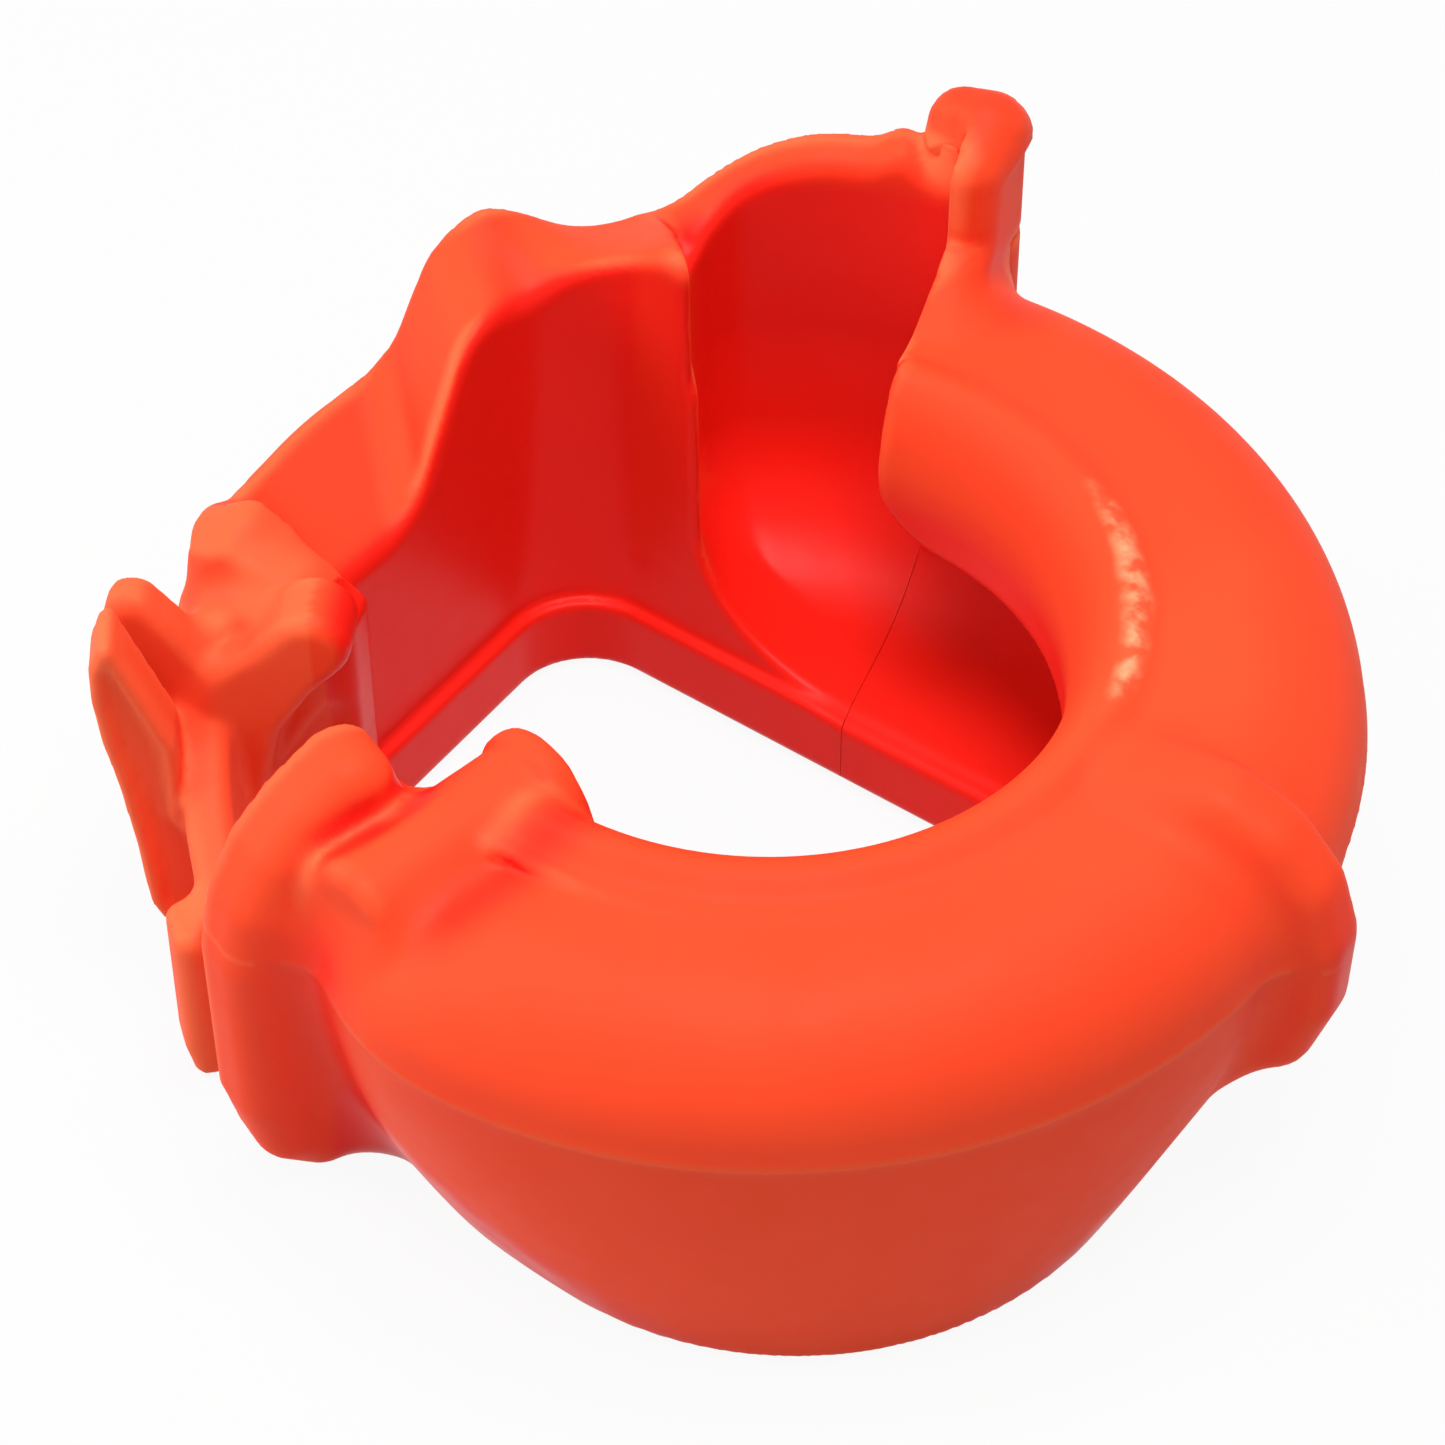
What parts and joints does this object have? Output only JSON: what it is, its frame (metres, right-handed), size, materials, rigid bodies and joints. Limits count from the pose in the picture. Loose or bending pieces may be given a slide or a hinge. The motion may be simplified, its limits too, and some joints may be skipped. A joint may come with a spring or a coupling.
{
  "type": "grooved pipe coupling",
  "caption": "Hinged split ring coupling, moulded in semi-gloss orange elastomer, with a flared tube collar, a square way through its base, radial fins and an overlapping closing end.",
  "frame": {"origin": "on the tube's axis, half way up the straight bore of the tube collar", "axes": "+Z along the tube's axis from the base up to the flared collar, X and Y square with the sides of the base"},
  "size_m": [0.1125, 0.1121, 0.0599],
  "materials": {
    "orange_moulding": "semi-gloss moulded orange elastomer",
    "orange_channel": "semi-gloss moulded orange elastomer, slightly deeper in the channel",
    "pin_steel": "plain steel pin"
  },
  "bodies": {
    "front": {"front_upper_shell": "orange_moulding", "front_lower_shell": "orange_moulding", "front_lower_key": "orange_channel", "tube_collar": "orange_moulding", "latch_bar": "orange_moulding", "hinge_pin": "pin_steel"},
    "rear": {"rear_upper_shell": "orange_moulding", "rear_lower_shell": "orange_moulding", "rear_lower_key": "orange_channel", "left_core": "orange_channel", "closing_tongue": "orange_moulding", "closing_lug": "orange_moulding", "closing_foot": "orange_moulding"}
  },
  "joints": [
    {"name": "main_hinge", "type": "hinge", "parent": "front", "child": "rear", "pos_m": [-0.01343, 0.05385, 0], "axis": [0, 0, -1], "range_deg": [0, 40]}
  ]
}
